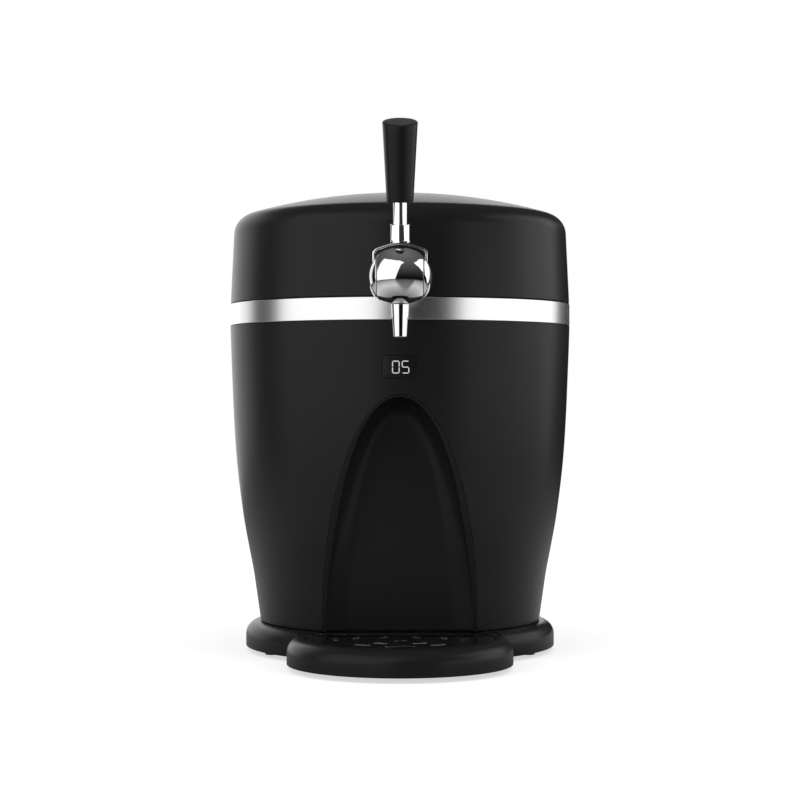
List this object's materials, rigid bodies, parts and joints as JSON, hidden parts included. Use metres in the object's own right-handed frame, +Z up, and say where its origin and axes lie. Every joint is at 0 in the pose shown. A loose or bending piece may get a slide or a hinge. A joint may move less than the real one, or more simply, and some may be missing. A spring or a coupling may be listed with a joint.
{
  "type": "beer dispenser",
  "caption": "Barrel-shaped cooled beer dispenser for a five litre keg, with a hinged lid, a chrome ball tap on the lid and a pull-out drip tray.",
  "frame": {"origin": "on the table under the middle of the keg well, which is also the middle of the overall depth", "axes": "+Z up, the front with the tap and the tray faces -Y, +X to the right in the front view"},
  "size_m": [0.2738, 0.426, 0.4055],
  "materials": {
    "black_housing": "satin black moulded plastic",
    "lid_shell": "satin black moulded plastic",
    "gloss_black": "polished black",
    "display_lens": "smoked gloss with lit digits",
    "satin_band": "satin",
    "chrome": "polished",
    "grip_black": "satin black",
    "rubber": "matte",
    "aluminium": "bead-blasted",
    "foam": "closed-cell foam, matte",
    "liner_grey": "light grey moulding",
    "zinc_steel": "zinc plated",
    "circuit_board": "solder mask green",
    "cooling_ceramic": "white ceramic plates",
    "fan_black": "fine matte",
    "beer_line": "soft clear tube"
  },
  "bodies": {
    "base": {"base_plinth": "black_housing", "base_plate": "black_housing", "foot_front_left": "rubber", "foot_front_right": "rubber", "foot_rear_left": "rubber", "foot_rear_right": "rubber", "foot_tray_left": "rubber", "foot_tray_right": "rubber", "body_shell": "black_housing", "niche_panel": "black_housing", "display_lens": "display_lens", "display_board": "circuit_board", "trim_band": "satin_band", "top_collar": "black_housing", "keg_well": "aluminium", "insulation": "foam", "cold_block": "aluminium", "cooling_module": "cooling_ceramic", "heat_sink": "aluminium", "fan_frame": "fan_black", "rear_housing": "black_housing", "power_board": "circuit_board", "mains_inlet": "fan_black", "switch_frame": "fan_black", "housing_screw_lower_left": "zinc_steel", "housing_screw_lower_right": "zinc_steel", "housing_screw_upper_left": "zinc_steel", "housing_screw_upper_right": "zinc_steel", "hinge_bracket": "zinc_steel", "hinge_pin": "zinc_steel"},
    "lid": {"lid_shell": "lid_shell", "lid_liner": "liner_grey", "lid_foam": "foam", "lid_gasket": "rubber", "lid_hinge_arm": "zinc_steel", "tap_flange": "chrome", "tap_shank": "zinc_steel", "shank_nut": "zinc_steel", "tap_body": "chrome", "tap_nozzle": "chrome", "keg_coupler": "liner_grey", "coupler_seal": "rubber", "coupler_post": "liner_grey", "beer_hose": "beer_line", "hose_clip_shank": "zinc_steel", "hose_clip_coupler": "zinc_steel"},
    "lever": {"lever_yoke": "chrome", "lever_pivot_pin_left": "chrome", "lever_pivot_pin_right": "chrome", "lever_collar": "chrome", "lever_rod": "chrome", "lever_grip": "grip_black"},
    "tray": {"drip_tray": "black_housing"},
    "grid": {"drip_grid": "gloss_black"},
    "fan": {"fan_rotor": "fan_black"},
    "rocker": {"switch_rocker": "fan_black"}
  },
  "joints": [
    {"name": "lid_hinge", "type": "hinge", "parent": "base", "child": "lid", "pos_m": [0, 0.143, 0.2784], "axis": [-1, 0, 0], "range_deg": [0, 75]},
    {"name": "lever_tilt", "type": "hinge", "parent": "lid", "child": "lever", "pos_m": [0, -0.168, 0.2905], "axis": [1, 0, 0], "range_deg": [0, 30]},
    {"name": "tray_slide", "type": "slide", "parent": "base", "child": "tray", "axis": [0, -1, 0], "range_m": [0, 0.12]},
    {"name": "grid_lift", "type": "slide", "parent": "tray", "child": "grid", "axis": [0, 0, 1], "range_m": [0, 0.02]},
    {"name": "fan_spin", "type": "hinge", "parent": "base", "child": "fan", "pos_m": [0, 0.1637, 0.16], "axis": [0, 1, 0], "continuous": true},
    {"name": "rocker_tilt", "type": "hinge", "parent": "base", "child": "rocker", "pos_m": [0.042, 0.1975, 0.062], "axis": [-1, 0, 0], "range_deg": [0, 16]}
  ]
}
